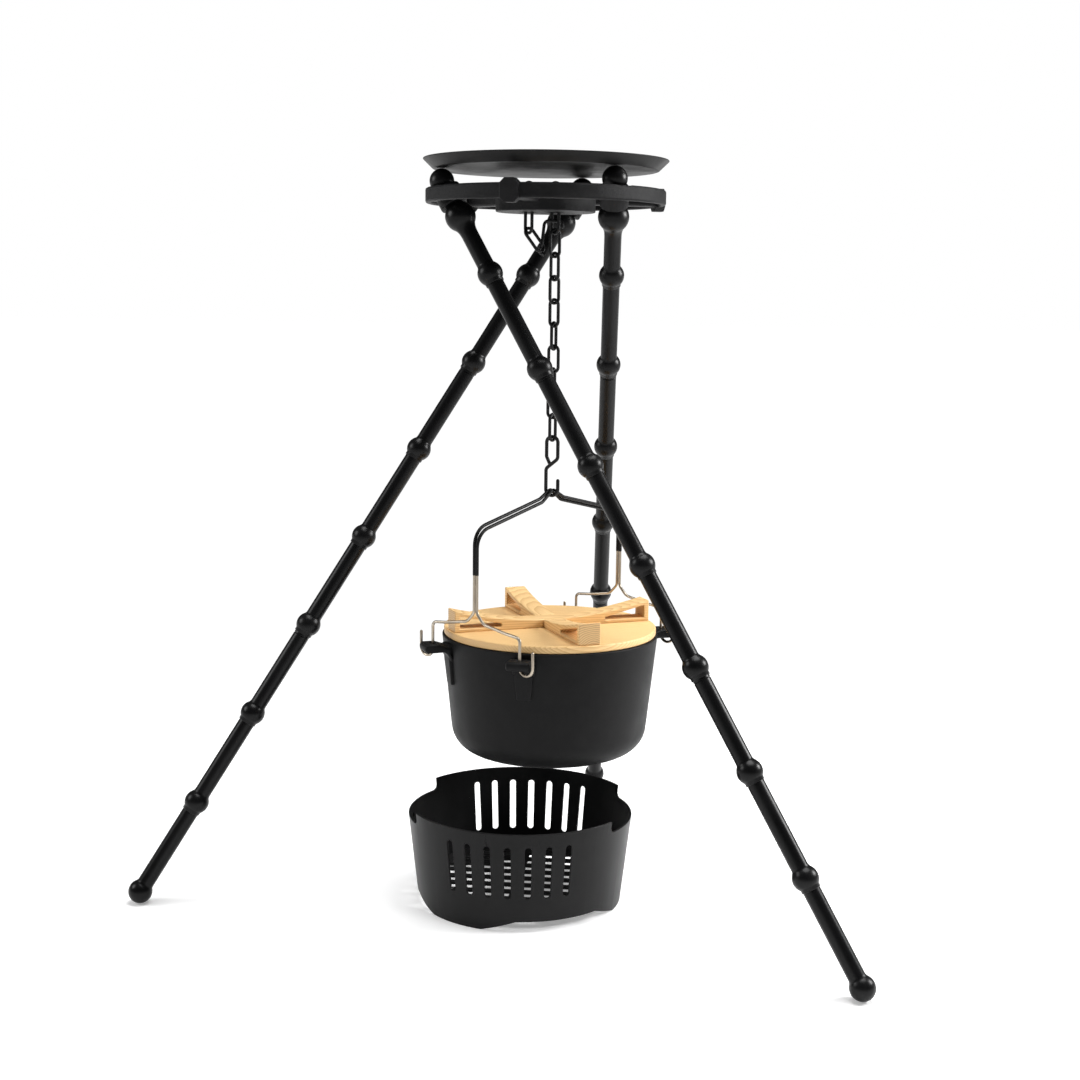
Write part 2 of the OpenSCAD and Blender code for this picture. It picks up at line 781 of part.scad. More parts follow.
// Cutter for the lowered rim of one side, with rounded lower corners
module rim_step() {
    half = basket_r * sin(step_half);
    round_r = 7;
    low = basket_h - basket_step + round_r;
    rotate([90, 0, 0]) linear_extrude(basket_r + 20) polygon(concat(
        [[half + 1, basket_h + 5], [-half - 1, basket_h + 5]],
        arc_points([-half + round_r, low], round_r, 180, 270, 6),
        arc_points([half - round_r, low], round_r, 270, 360, 6)
    ));
}

// Cutter for the arch between two feet, seen from the middle of the arch
module foot_arch() {
    half = 60 - foot_half;
    foot_x = basket_foot_r * sin(half);
    arch_x = basket_foot_r * sin(half - foot_slope);
    below = 0.2;
    low_x = foot_x + (foot_x - arch_x) * below;
    translate([0, -basket_foot_r * 0.4, 0]) rotate([90, 0, 0]) linear_extrude(basket_foot_r)
        polygon([
            [-low_x, -arch_h * below], [low_x, -arch_h * below], [arch_x, arch_h], [-arch_x, arch_h]
        ]);
}

module air_slot() {
    translate([0, -70, slot_mid_z]) rotate([90, 0, 0]) linear_extrude(basket_r) {
        square([slot_w, slot_l - slot_w], center = true);
        for (z = [-1, 1]) translate([0, z * (slot_l - slot_w) / 2]) circle(d = slot_w, $fn = 24);
    }
}

module basket_shell() {
    color(black_steel) basket_frame() difference() {
        cylinder(r1 = basket_foot_r, r2 = basket_r, h = basket_h, $fn = 128);
        translate([0, 0, -eps]) basket_inside(0, basket_h + 2 * eps);
        for (a = [90, 270]) rotate([0, 0, a]) intersection() {
            rim_step();
            translate([-200, -200, 0]) cube([400, 170, 200]);
        }
        for (a = [0, 180], i = [0:slots - 1]) rotate([0, 0, a + (i - (slots - 1) / 2) * slot_step])
            air_slot();
        for (a = foot_az) rotate([0, 0, a + 60]) foot_arch();
        for (a = [90, 270]) rotate([0, 0, a]) translate([0, -100, basket_h - basket_step - 12])
            rotate([90, 0, 0]) cylinder(d = 5.5, h = basket_r, $fn = 24);
    }
}

// Four tabs inside the basket that the grate rests on
module grate_tabs() {
    z = grate_z - grate_t - rest_gap - grate_t;
    color(black_steel) basket_frame() for (a = [45:90:315]) rotate([0, 0, a])
        intersection() {
            translate([-tab_w / 2, -basket_r, z]) cube([tab_w, basket_r - tab_in_r, grate_t]);
            basket_inside(0.05, basket_h);
        }
}

module charcoal_grate() {
    rim = 9;
    pitch = 2 * (grate_r - rim) / grate_gaps;
    gap = pitch * 0.6;
    color(black_steel) basket_frame() translate([0, 0, grate_z - grate_t]) difference() {
        cylinder(r = grate_r, h = grate_t, $fn = 96);
        for (i = [0:grate_gaps - 1]) {
            y = (i - (grate_gaps - 1) / 2) * pitch;
            reach = sqrt(pow(grate_r - rim, 2) - pow(abs(y) + gap / 2, 2));
            for (s = [0, 1]) translate([s == 0 ? -reach : 5, y - gap / 2, -1])
                cube([reach - 5, gap, grate_t + 2]);
        }
    }
}

// ---------------------------------------------------------------- the whole object

spider_ring();
leg_upper(0);  // leg_1_upper
leg_section(0, upper_knuckles + 1, middle_knuckles, false);  // leg_1_middle
leg_section(0, middle_knuckles + 1, knuckles, true);  // leg_1_lower
leg_upper(1);  // leg_2_upper
leg_section(1, upper_knuckles + 1, middle_knuckles, false);  // leg_2_middle
leg_section(1, middle_knuckles + 1, knuckles, true);  // leg_2_lower
leg_upper(2);  // leg_3_upper
leg_section(2, upper_knuckles + 1, middle_knuckles, false);  // leg_3_middle
leg_section(2, middle_knuckles + 1, knuckles, true);  // leg_3_lower
ball_nut(0);  // ball_nut_1
ball_nut(1);  // ball_nut_2
ball_nut(2);  // ball_nut_3
saddle_link();
hanging_link(0);  // hub_link
tail_hub_link();
griddle();
hanging_link(1);  // chain_link_1
tail_link_1();
tail_link_2();
tail_hook();
hanging_link(2);  // chain_link_2
hanging_link(3);  // chain_link_3
hanging_link(4);  // chain_link_4
hanging_link(5);  // chain_link_5
hanging_link(6);  // chain_link_6
hanging_link(7);  // chain_link_7
hanging_link(8);  // chain_link_8
hanging_link(9);  // chain_link_9
hanging_link(10);  // chain_link_10
pot_hook();
bail_wire(0);  // bail_wire_a
bail_wire(180);  // bail_wire_b
bail_coat(0);  // bail_coat_a
bail_coat(180);  // bail_coat_b
pot();
lid_board();
lid_ring();
lid_bar(cross_az, false);  // lid_bar_lower
lid_bar(cross_az + 90, true);  // lid_bar_upper
lid_screws();
basket_shell();
grate_tabs();
charcoal_grate();
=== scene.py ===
import math

import bmesh
import bpy
from mathutils import Matrix, Vector


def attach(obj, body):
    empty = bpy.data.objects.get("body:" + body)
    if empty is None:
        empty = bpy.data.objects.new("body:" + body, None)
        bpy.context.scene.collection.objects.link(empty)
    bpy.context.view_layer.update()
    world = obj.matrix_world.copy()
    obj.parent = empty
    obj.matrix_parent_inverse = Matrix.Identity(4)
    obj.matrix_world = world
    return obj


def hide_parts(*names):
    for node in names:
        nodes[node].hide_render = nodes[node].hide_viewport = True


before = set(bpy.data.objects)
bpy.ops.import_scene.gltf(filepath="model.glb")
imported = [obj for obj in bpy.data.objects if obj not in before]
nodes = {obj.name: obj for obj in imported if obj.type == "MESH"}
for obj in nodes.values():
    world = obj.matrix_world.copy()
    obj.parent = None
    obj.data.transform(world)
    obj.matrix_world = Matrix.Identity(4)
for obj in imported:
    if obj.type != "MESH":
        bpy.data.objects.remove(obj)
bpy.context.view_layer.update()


# ---------------------------------------------------------------- camera
# Stands a little over two metres in front of the tripod, about level with the
# middle of the chain, and looks slightly down.
def rotated(axis, degrees):
    """Turn about one of the main axes."""
    return Matrix.Rotation(math.radians(degrees), 4, axis)


camera_data = bpy.data.cameras.new("camera")
camera_data.lens = 54.67
camera_data.sensor_width = 36.0
camera = bpy.data.objects.new("camera", camera_data)
bpy.context.scene.collection.objects.link(camera)
camera.matrix_world = (
    Matrix.Translation((-0.0019, -2.040, 0.7634))
    @ rotated("X", 81.5)
    @ rotated("Z", 0.7)
)
bpy.context.scene.camera = camera


# ---------------------------------------------------------------- ring casting
# The head of the tripod is one sand-cast iron piece: a hoop, a hub with two chain
# holes and three spokes. Its edges come out of the mould slightly rounded, and
# the skin is black with a fine sandy grain.
MM = 0.001
MERGE_GAP = 0.01 * MM
FLAT_ANGLE = 0.5


class Value:
    """A number or vector inside a material, which plain expressions can work on."""

    def __init__(self, tree, socket):
        self.tree = tree
        self.socket = socket

    def math(self, operation, *others):
        node = self.tree.nodes.new("ShaderNodeMath")
        node.operation = operation
        for slot, item in zip(node.inputs, (self, *others)):
            if isinstance(item, Value):
                self.tree.links.new(item.socket, slot)
            else:
                slot.default_value = item
        return Value(self.tree, node.outputs[0])

    def __add__(self, other):
        return self.math("ADD", other)

    def __sub__(self, other):
        return self.math("SUBTRACT", other)

    def __mul__(self, other):
        return self.math("MULTIPLY", other)

    def __truediv__(self, other):
        return self.math("DIVIDE", other)

    def __pow__(self, other):
        return self.math("POWER", other)

    def __rsub__(self, other):
        return (self * -1.0).math("ADD", other)

    __radd__ = __add__
    __rmul__ = __mul__


class Finish:
    """One material, built round a single Principled shader."""

    def __init__(self, name, colour, roughness, fixed=None):
        self.material = bpy.data.materials.new(name)
        self.material.use_nodes = True
        self.tree = self.material.node_tree
        self.shader = self.tree.nodes["Principled BSDF"]
        self.shader.inputs["Base Color"].default_value = (*colour, 1.0)
        self.shader.inputs["Roughness"].default_value = roughness
        for key, value in (fixed or {}).items():
            self.shader.inputs[key].default_value = value
        self.place = self.node("ShaderNodeTexCoord", out="Object")

    def node(self, kind, settings=None, values=None, out=0):
        node = self.tree.nodes.new(kind)
        for key, value in (settings or {}).items():
            setattr(node, key, value)
        for key, value in (values or {}).items():
            if isinstance(value, Value):
                self.tree.links.new(value.socket, node.inputs[key])
            else:
                node.inputs[key].default_value = value
        return Value(self.tree, node.outputs[out])

    def noise(self, scale, detail=2.0, rough=0.5, place=None):
        return self.node("ShaderNodeTexNoise", None, {
            "Vector": place or self.place, "Scale": scale, "Detail": detail, "Roughness": rough,
        })

    def mix(self, amount, first, second):
        """Colour between first and second."""
        colours = [c if isinstance(c, Value) else (*c, 1.0) for c in (first, second)]
        return self.node("ShaderNodeMix", {"data_type": "RGBA"},
                         {0: amount, 6: colours[0], 7: colours[1]}, out=2)

    def between(self, value, low, high):
        """value from 0 to 1 as it goes from low to high."""
        return self.node("ShaderNodeMapRange", {"clamp": True},
                         {"Value": value, "From Min": low, "From Max": high})

    def drive(self, slot, value):
        self.tree.links.new(value.socket, self.shader.inputs[slot])

    def bump(self, height, distance, strength=1.0):
        self.drive("Normal", self.node("ShaderNodeBump", None, {
            "Height": height, "Distance": distance, "Strength": strength,
        }))


def cast_iron(name, dark, light, roughness, grain):
    """Black cast iron, with mottled colour and a sandy skin of the given height."""
    finish = Finish(name, dark, roughness, {"Specular IOR Level": 0.13})
    patches = finish.noise(38.0, 3.0)
    sand = finish.noise(1100.0, 3.0, 0.6)
    lumps = finish.noise(210.0, 2.0)
    mottle = finish.between(patches + sand * 0.25, 0.45, 0.85)
    finish.drive("Base Color", finish.mix(mottle, dark, light))
    finish.drive("Roughness", finish.between(patches, 0.2, 0.8) * 0.14 + (roughness - 0.07))
    finish.bump(sand * 0.6 + lumps * 0.4, grain)
    return finish.material


def finished(name, source, smooth_angle=32.0):
    """Scene object from a bmesh, smooth where its faces meet at a small angle."""
    mesh = bpy.data.meshes.new(name)
    source.to_mesh(mesh)
    source.free()
    mesh.polygons.foreach_set("use_smooth", [True] * len(mesh.polygons))
    mesh.set_sharp_from_angle(angle=math.radians(smooth_angle))
    piece = bpy.data.objects.new(name, mesh)
    bpy.context.scene.collection.objects.link(piece)
    return piece


def coated(piece, body, slot, material, *stands_for):
    """Gives a piece its finish and its body, and hides the CAD nodes that it stands for."""
    piece.data.materials.append(material)
    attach(piece, body)
    if stands_for:
        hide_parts(*stands_for)
    return piece


def eased_copy(name, node, edge, sharp=35.0, segments=2):
    """Copy of a CAD node with every sharp edge rounded off."""
    copy = bmesh.new()
    copy.from_mesh(nodes[node].data)
    bmesh.ops.remove_doubles(copy, verts=copy.verts, dist=MERGE_GAP)
    bmesh.ops.dissolve_limit(copy, angle_limit=math.radians(FLAT_ANGLE),
                             verts=copy.verts, edges=copy.edges)
    piece = finished(name, copy)
    rounding = piece.modifiers.new("rounding", "BEVEL")
    rounding.width = edge
    rounding.segments = segments
    rounding.limit_method = "ANGLE"
    rounding.angle_limit = math.radians(sharp)
    rounding.use_clamp_overlap = False
    shading = piece.modifiers.new("shading", "WEIGHTED_NORMAL")
    shading.keep_sharp = True
    return piece


ring_iron = cast_iron("ring_iron", (0.004, 0.004, 0.0045), (0.011, 0.011, 0.0115), 0.46, 0.9 * MM)
coated(eased_copy("ring_casting", "spider_ring", 1.1 * MM),
       "tripod", "cast_ring", ring_iron, "spider_ring")


# ---------------------------------------------------------------- legs
# Three identical legs cross below the ring. Each is a steel tube in three lengths
# that plug together, with turned knuckles along it, and is powder coated satin
# black. A stud above the collar ball passes through the ring.
RING_MID_Z = 881.0
SOCKET_R = 119.0
SOCKET_AZ = -77.8
LEG_LEAN = 33.1
LEG_YAW = 54.9
LEG_TURN = (2.3, -6.6, 4.2)
TUBE_R = 10.3
KNUCKLE_R = 15.3
KNUCKLE_BLEND = 6.5
CUFF_R = 11.5
COLLAR_R = 18.5
COLLAR_S = 30.7
FOOT_R = 15.0
STUD_R = 6.0
SPIGOT_R = 7.7
SPIGOT_L = 30.0
FIRST_KNUCKLE = 111.4
KNUCKLE_COUNT = 7
BLEND_STEPS = 6
SEAM_GAP = 0.001 * MM
LEG_STEPS = 48
LEG_SMOOTH = 40.0
FOOT_S = (RING_MID_Z - FOOT_R) / math.cos(math.radians(LEG_LEAN))
KNUCKLE_PITCH = (FOOT_S - FIRST_KNUCKLE) / KNUCKLE_COUNT
SEAM_BELOW = KNUCKLE_R + 1.5


def powder_black(name, colour, roughness, peel):
    """Powder coat with a faint orange peel and slight variation in sheen."""
    finish = Finish(name, colour, roughness, {"Specular IOR Level": 0.16})
    cloud = finish.noise(22.0, 3.0)
    skin = finish.noise(700.0, 2.0)
    light = tuple(c * 1.8 for c in colour)
    finish.drive("Base Color", finish.mix(finish.between(cloud, 0.35, 0.75), colour, light))
    finish.drive("Roughness", cloud * 0.12 + (roughness - 0.06))
    finish.bump(skin, peel)
    return finish.material


def leg_place(k):
    """Frame of leg k, whose -Z runs down along the leg from the ring's middle."""
    return (
        rotated("Z", SOCKET_AZ - 120 * k)
        @ Matrix.Translation((0, -SOCKET_R * MM, RING_MID_Z * MM))
        @ rotated("Z", LEG_YAW + LEG_TURN[k] - SOCKET_AZ)
        @ rotated("X", -LEG_LEAN)
    )


def spun(name, outline, place=Matrix(), steps=72, smooth_angle=32.0):
    """Turned piece from an outline of (radius, height) in millimetres."""
    turned = bmesh.new()
    points = [turned.verts.new((r * MM, 0, z * MM)) for r, z in outline]
    lines = [turned.edges.new(pair) for pair in zip(points, points[1:])]
    bmesh.ops.spin(turned, geom=points + lines, cent=(0, 0, 0), axis=(0, 0, 1),
                   angle=math.tau, steps=steps, use_merge=True)
    bmesh.ops.remove_doubles(turned, verts=turned.verts, dist=SEAM_GAP)
    bmesh.ops.recalc_face_normals(turned, faces=turned.faces)
    bmesh.ops.transform(turned, matrix=place, verts=turned.verts)
    return finished(name, turned, smooth_angle)


def ball_arc(s, radius, start, stop, step=6.0):
    """Part of a ball's outline, with angles measured from its upper pole."""
    count = math.ceil((stop - start) / step)
    angles = [math.radians(start + (stop - start) * i / count) for i in range(count + 1)]
    return [(radius * math.sin(a), s - radius * math.cos(a)) for a in angles]


def blend_arc(s, radius):
    """Hollow curve from the tube into the top of a ball, and where it meets the ball."""
    rise = math.sqrt((radius + KNUCKLE_BLEND) ** 2 - (TUBE_R + KNUCKLE_BLEND) ** 2)
    sweep = math.asin(rise / (radius + KNUCKLE_BLEND))
    angles = [sweep * i / BLEND_STEPS for i in range(BLEND_STEPS + 1)]
    arc = [
        (TUBE_R + KNUCKLE_BLEND * (1 - math.cos(a)), s - rise + KNUCKLE_BLEND * math.sin(a))
        for a in angles
    ]
    return arc, math.degrees(math.atan2(TUBE_R + KNUCKLE_BLEND, rise))


def knuckle(i):
    """Outline of the tube's knuckle number i, with the cuff below it."""
    s = FIRST_KNUCKLE + (i - 1) * KNUCKLE_PITCH
    arc, start = blend_arc(s, KNUCKLE_R)
    stop = 180 - math.degrees(math.asin(CUFF_R / KNUCKLE_R))
    cuff = [(CUFF_R, s + 13.4), (CUFF_R - 0.4, s + 13.9), (TUBE_R, s + 14.1)]
    return arc + ball_arc(s, KNUCKLE_R, start + 1, stop) + cuff


def seam(i):
    """Where the tube is parted, just below knuckle number i."""
    return FIRST_KNUCKLE + (i - 1) * KNUCKLE_PITCH + SEAM_BELOW


def tube_top(s):
    """Spigot that reaches up into the tube above, and the shoulder below it."""
    return [(0, s - SPIGOT_L), (SPIGOT_R - 0.8, s - SPIGOT_L), (SPIGOT_R, s - SPIGOT_L + 0.8),
            (SPIGOT_R, s), (TUBE_R - 0.7, s), (TUBE_R, s + 0.7)]


def tube_foot(s):
    """Lower end of a tube, open for the spigot below."""
    bore = SPIGOT_R + 0.1
    return [(TUBE_R, s - 0.7), (TUBE_R - 0.7, s), (bore, s),
            (bore, s - SPIGOT_L - 1), (0, s - SPIGOT_L - 1)]


collar = [(0, -24), (STUD_R, -24)] + ball_arc(COLLAR_S, COLLAR_R, 19, 134) + [
    (12.4, COLLAR_S + 14.6), (11.3, COLLAR_S + 17.5), (10.6, COLLAR_S + 21), (TUBE_R, COLLAR_S + 26)]
foot_arc, foot_start = blend_arc(FOOT_S, FOOT_R)
LEG_OUTLINES = {
    "upper": collar + knuckle(1) + knuckle(2) + tube_foot(seam(2)),
    "middle": tube_top(seam(2)) + knuckle(3) + knuckle(4) + knuckle(5) + tube_foot(seam(5)),
    "lower": tube_top(seam(5)) + knuckle(6) + knuckle(7) + foot_arc
    + ball_arc(FOOT_S, FOOT_R, foot_start + 1, 180),
}
NUT_S = -20.0
NUT_R = 15.0
NUT_NECK_R = 11.5
nut_top = [(r, 2 * NUT_S - s) for r, s in ball_arc(NUT_S, NUT_R, 50, 180)]
nut_outline = [(0, -26), (STUD_R + 0.1, -26), (STUD_R + 0.1, -9), (NUT_NECK_R - 0.4, -9),
               (NUT_NECK_R, -9.4)] + nut_top

leg_black = powder_black("leg_black", (0.0026, 0.0026, 0.0028), 0.32, 0.012 * MM)
for k in range(3):
    for part, outline in LEG_OUTLINES.items():
        tube = spun(f"leg_{k + 1}_{part}_tube", [(r, -s) for r, s in outline],
                    leg_place(k), LEG_STEPS, LEG_SMOOTH)
        coated(tube, "tripod", "leg_black", leg_black, f"leg_{k + 1}_{part}")
    nut = spun(f"ball_nut_{k + 1}_turned", [(r, -s) for r, s in nut_outline],
               leg_place(k), LEG_STEPS, LEG_SMOOTH)
    coated(nut, "tripod", "leg_black", leg_black, f"ball_nut_{k + 1}")


# ---------------------------------------------------------------- griddle
# Shallow round plate of cast iron with a flared rim, seasoned black, that rests
# loose on the three ball nuts.
GRIDDLE_Z = 913.05
GRIDDLE_R = 150
GRIDDLE_H = 12.5
GRIDDLE_T = 4.5
ROUND_STEPS = 160


def eased(points, radii, turn=math.radians(9)):
    """Points of a line whose corners are rounded, each to its own radius."""
    line = [points[0]]
    for a, b, c, radius in zip(points, points[1:], points[2:], radii[1:]):
        u = (a - b).normalized()
        v = (c - b).normalized()
        corner = u.angle(v)
        reach = radius / math.tan(corner / 2)
        centre = b + (u + v).normalized() * (radius / math.sin(corner / 2))
        e1 = (b + u * reach - centre) / radius
        end = b + v * reach - centre
        e2 = (end - e1 * end.dot(e1)).normalized()
        sweep = math.pi - corner
        count = max(2, math.ceil(sweep / turn))
        for i in range(count + 1):
            angle = sweep * i / count
            line.append(centre + radius * (math.cos(angle) * e1 + math.sin(angle) * e2))
    return line + [points[-1]]


def eased_outline(corners):
    """Outline from (radius, height, corner radius), with its corners rounded."""
    points = [Vector((r, 0, z)) for r, z, _ in corners]
    return [(p.x, p.z) for p in eased(points, [c[2] for c in corners])]


griddle_outline = eased_outline([
    (0, GRIDDLE_Z, 0), (137.5, GRIDDLE_Z, 3), (GRIDDLE_R, GRIDDLE_Z + 12, 0.8),
    (149.2, GRIDDLE_Z + GRIDDLE_H, 0.3), (147, GRIDDLE_Z + GRIDDLE_H, 0.8),
    (135.7, GRIDDLE_Z + GRIDDLE_T, 5), (0, GRIDDLE_Z + GRIDDLE_T, 0),
])
griddle_iron = cast_iron("griddle_iron", (0.0035, 0.0035, 0.0035), (0.008, 0.0078, 0.0076), 0.4, 0.12 * MM)
coated(spun("griddle_plate", griddle_outline, steps=ROUND_STEPS),
       "griddle", "cast_griddle", griddle_iron, "griddle")


# ---------------------------------------------------------------- chain
# Welded links of 4 mm steel wire, blackened. Two links hang in the holes of the
# hub on a flat link across its bridge, and the short tail ends in a hook that is
# caught in the first hanging link.
LINK_COUNT = 10
CHAIN_LINKS = ["saddle_link", "hub_link", "tail_hub_link", "tail_link_1", "tail_link_2"]
CHAIN_LINKS += [f"chain_link_{i + 1}" for i in range(LINK_COUNT)]
LINK_WIRE = 4
HANG_X = 12.0
LINK_L = 32.5
LINK_PITCH = 28.2
TAIL_X = HANG_X - LINK_L
CHAIN_TOP_Z = 898.8


def blackened(name, colour, roughness):
    """Oil-blackened steel wire, rubbed a little brighter in patches."""
    finish = Finish(name, colour, roughness, {"Metallic": 0.4, "Specular IOR Level": 0.3})
    rub = finish.between(finish.noise(160.0, 4.0, 0.6), 0.52, 0.78)
    finish.drive("Base Color", finish.mix(rub, colour, tuple(c * 3.2 for c in colour)))
    finish.drive("Roughness", rub * -0.1 + roughness)
    finish.bump(finish.noise(900.0, 2.0), 0.08 * MM)
    return finish.material


def rod(name, path, thick):
    """Round bar along a path in metres, with rounded ends."""
    radius = thick / 2
    caps = []
    for tip, inner in ((path[0], path[1]), (path[-1], path[-2])):
        out = (tip - inner).normalized()
        angles = [math.radians(a) for a in (0, 22, 42, 60, 75, 88)]
        caps.append([(tip + out * radius * (math.sin(a) - 1), math.cos(a)) for a in angles])
    line = caps[0][::-1] + [(p, 1.0) for p in path[1:-1]] + caps[1]
    curve = bpy.data.curves.new(name, "CURVE")
    curve.dimensions = "3D"
    curve.bevel_depth = radius
    curve.bevel_resolution = 5
    curve.use_fill_caps = True
    spline = curve.splines.new("POLY")
    spline.points.add(len(line) - 1)
    for point, (spot, scale) in zip(spline.points, line):
        point.co = (*spot, 1.0)
        point.radius = scale
    piece = bpy.data.objects.new(name, curve)
    bpy.context.scene.collection.objects.link(piece)
    return piece


def refinished(material, *names):
    """Gives CAD nodes that are kept as they are a finish of their own."""
    for name in names:
        for slot in nodes[name].material_slots:
            slot.material = material


chain_black = blackened("chain_black", (0.007, 0.007, 0.0075), 0.42)
refinished(chain_black, *CHAIN_LINKS)

tail_lean = math.radians(36)
tail_roll = math.radians(40)
tail_joint = Vector((TAIL_X, 0, CHAIN_TOP_Z - LINK_PITCH - LINK_L))
tail_dir = Vector((math.sin(tail_lean), 0, -math.cos(tail_lean)))
tail_across = Vector((math.cos(tail_roll) * math.cos(tail_lean), math.sin(tail_roll),
                      math.cos(tail_roll) * math.sin(tail_lean)))
tail_top = tail_joint - tail_dir * 5.2 + Vector((1, -1, 0.8))
crown = tail_top + tail_dir * LINK_L
face = tail_dir.cross(tail_across)
eye = Vector((HANG_X, 0, CHAIN_TOP_Z - LINK_PITCH - LINK_L / 2 - 1.3))
hook_bow = 4.9
tail_hook_path = eased([
    crown + hook_bow * tail_dir + face,
    crown + hook_bow * (tail_dir - face),
    crown - hook_bow * (tail_dir + face),
    crown - hook_bow * tail_dir + 4 * face,
    eye + Vector((-13, -1, 0)),
    eye + Vector((9, 0.7, 0)),
    eye + Vector((9, 0.7, -9)),
], [0, hook_bow - 0.2, hook_bow - 0.2, 6, 6, 4.5, 0])
coated(rod("tail_hook_wire", [p * MM for p in tail_hook_path], LINK_WIRE * MM),
       "chain_loop", "chain_black", chain_black, "tail_hook")

# ---------------------------------------------------------------- pot hook
# Bent from one length of blackened steel wire: a closed eye in the last link, a
# short shank, and an open mouth that takes the bail.
HOOK_TOP_Z = CHAIN_TOP_Z - LINK_COUNT * LINK_PITCH - LINK_L + 4.55
HOOK_BOTTOM_Z = HOOK_TOP_Z - 73.7
EYE_HALF = 7.3
MOUTH_HALF = 7.8
HOOK_WIRE = 4.5
HOOK_AZ = -18
hook_turn = Matrix.Translation((HANG_X * MM, 0, 0)) @ rotated("Z", HOOK_AZ)
hook_corners = [
    (-2.6, HOOK_TOP_Z - 35), (-EYE_HALF, HOOK_TOP_Z - 25), (-EYE_HALF, HOOK_TOP_Z),
    (EYE_HALF, HOOK_TOP_Z), (EYE_HALF, HOOK_TOP_Z - 27.5),
    (-MOUTH_HALF, HOOK_TOP_Z - 40), (-MOUTH_HALF, HOOK_BOTTOM_Z),
    (MOUTH_HALF, HOOK_BOTTOM_Z), (MOUTH_HALF, HOOK_BOTTOM_Z + 21),
]
hook_path = eased([Vector((x, 0, z)) for x, z in hook_corners],
                  [0, 6, EYE_HALF - 0.1, EYE_HALF - 0.1, 6, 6, MOUTH_HALF - 0.1, MOUTH_HALF - 0.1, 0])
coated(rod("pot_hook_wire", [hook_turn @ (p * MM) for p in hook_path], HOOK_WIRE * MM),
       "pot_hook", "chain_black", chain_black, "pot_hook")

# ---------------------------------------------------------------- bail
# Two spring-steel wires lie side by side over the hook, each in a black sleeve
# along its upper part. Below, they fork and end in open hooks under the ears.
BAIL_AZ = -41.5
BAIL_HALF = 136.5
BAIL_Z = HOOK_BOTTOM_Z + 6.5
WIRE_D = 3.7
COAT_D = 4.3
WIRE_SIDE = 2.2
EAR_SIDE = 72.5
JAY_R = 10.25
EAR_TOP_Z = BAIL_Z - 184.7
JAY_Z = EAR_TOP_Z - 12 + 5.1
COAT_END_Z = BAIL_Z - 93


def half_wire(end, lift):
    """One half of a wire, from its peak to the tip of its ear hook."""
    fork = BAIL_Z - 138
    steps = [
        (20, WIRE_SIDE, BAIL_Z - 11.5 + lift), (BAIL_HALF, WIRE_SIDE, BAIL_Z - 38.5 + lift),
        (BAIL_HALF, WIRE_SIDE, fork), (BAIL_HALF, 14, fork - 12), (BAIL_HALF, 50, fork - 18),
        (BAIL_HALF, EAR_SIDE, fork - 20.5), (BAIL_HALF, EAR_SIDE, JAY_Z - JAY_R),
        (BAIL_HALF, EAR_SIDE + 2 * JAY_R, JAY_Z - JAY_R), (BAIL_HALF, EAR_SIDE + 2 * JAY_R, JAY_Z + 20),
    ]
    return [Vector((-side, -end * out, z)) for out, side, z in steps]


half_radii = [12, 24, 9, 14, 30, 6, JAY_R - 0.05, JAY_R - 0.05]
bail_path = eased(
    half_wire(-1, -1.8)[::-1] + [Vector((-WIRE_SIDE, 0, BAIL_Z + 1.4))] + half_wire(1, 1.8),
    [0] + half_radii[::-1] + [6] + half_radii + [0],
)
coat_path = [p for p in bail_path if p.z > COAT_END_Z + 6]
for end, spot in ((0, coat_path[0]), (len(coat_path) + 1, coat_path[-1])):
    coat_path.insert(end, Vector((spot.x, spot.y, COAT_END_Z)))


def bare_wire(name, colour, roughness):
    """Drawn spring steel with fine draw marks and faint heat colour."""
    finish = Finish(name, colour, roughness, {"Metallic": 1.0})
    tint = finish.noise(28.0, 3.0)
    marks = finish.noise(1500.0, 1.0)
    heat = finish.between(tint, 0.35, 0.7)
    finish.drive("Base Color", finish.mix(heat, colour, (0.30, 0.24, 0.18)))
    finish.drive("Roughness", marks * 0.1 + (roughness - 0.05))
    finish.bump(marks, 0.03 * MM)
    return finish.material


bail_steel = bare_wire("bail_steel", (0.44, 0.39, 0.32), 0.3)
coat_black = powder_black("coat_black", (0.0045, 0.0045, 0.0045), 0.42, 0.01 * MM)
for letter, half_turn in (("a", 0), ("b", 180)):
    place = Matrix.Translation((HANG_X * MM, 0, 0)) @ rotated("Z", BAIL_AZ + half_turn)
    coated(rod(f"bail_{letter}_wire", [place @ (p * MM) for p in bail_path], WIRE_D * MM),
           "bail", "bail_steel", bail_steel, f"bail_wire_{letter}")
    coated(rod(f"bail_{letter}_sleeve", [place @ (p * MM) for p in coat_path], COAT_D * MM),
           "bail", "coat_black", coat_black, f"bail_coat_{letter}")

